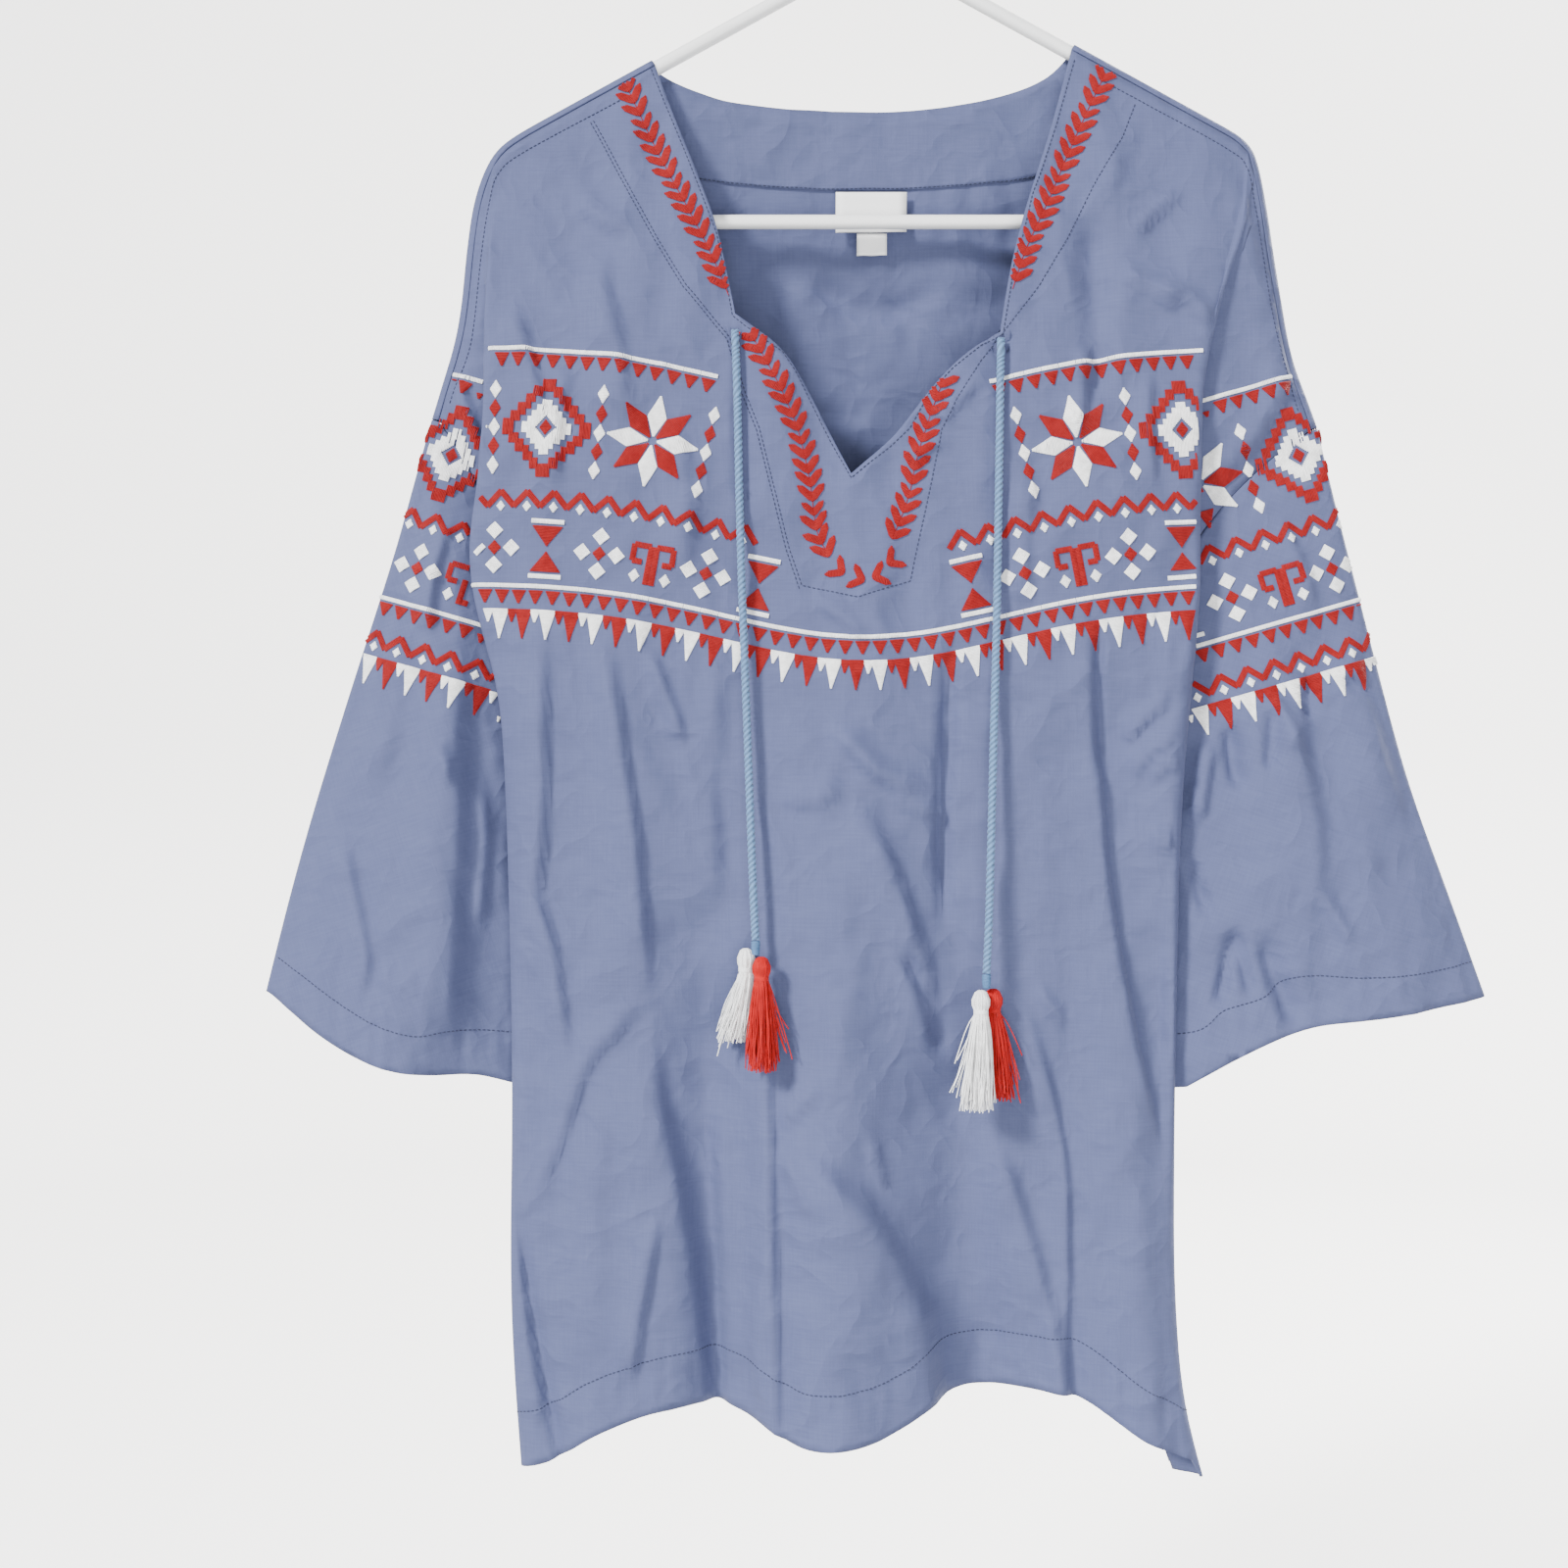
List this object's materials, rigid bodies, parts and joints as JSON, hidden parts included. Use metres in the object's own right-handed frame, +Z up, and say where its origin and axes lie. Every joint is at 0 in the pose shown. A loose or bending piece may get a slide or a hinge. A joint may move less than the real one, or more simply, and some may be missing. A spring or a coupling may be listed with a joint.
{
  "type": "embroidered tunic on a hanger",
  "caption": "Wide sleeved cotton tunic with a slit neck, chevron border, embroidered chest band and tasselled ties, hanging on a round tube clothes hanger.",
  "frame": {"origin": "the inner top of the hanger's hook, on its middle plane, where the rail touches it", "axes": "+Z up; the tunic's front faces -Y; +X is to the viewer's right"},
  "size_m": [0.6831, 0.0992, 0.9212],
  "materials": {
    "cloth": "plain weave cotton, slight sheen",
    "facing": "plain weave cotton",
    "cord": "twisted cord",
    "red_thread": "soft satin thread",
    "white_thread": "soft cotton thread",
    "label": "bare woven label",
    "hanger": "white gloss plastic tube"
  },
  "bodies": {
    "root": {"front": "cloth", "back": "cloth", "sleeve_left": "cloth", "sleeve_right": "cloth", "facing_front": "facing", "facing_back": "facing", "label": "label", "size_tab": "label", "cord_left": "cord", "binding_left": "cord", "tassel_left_red": "red_thread", "tassel_left_white": "white_thread", "cord_right": "cord", "binding_right": "cord", "tassel_right_red": "red_thread", "tassel_right_white": "white_thread", "hanger": "hanger"}
  },
  "joints": []
}
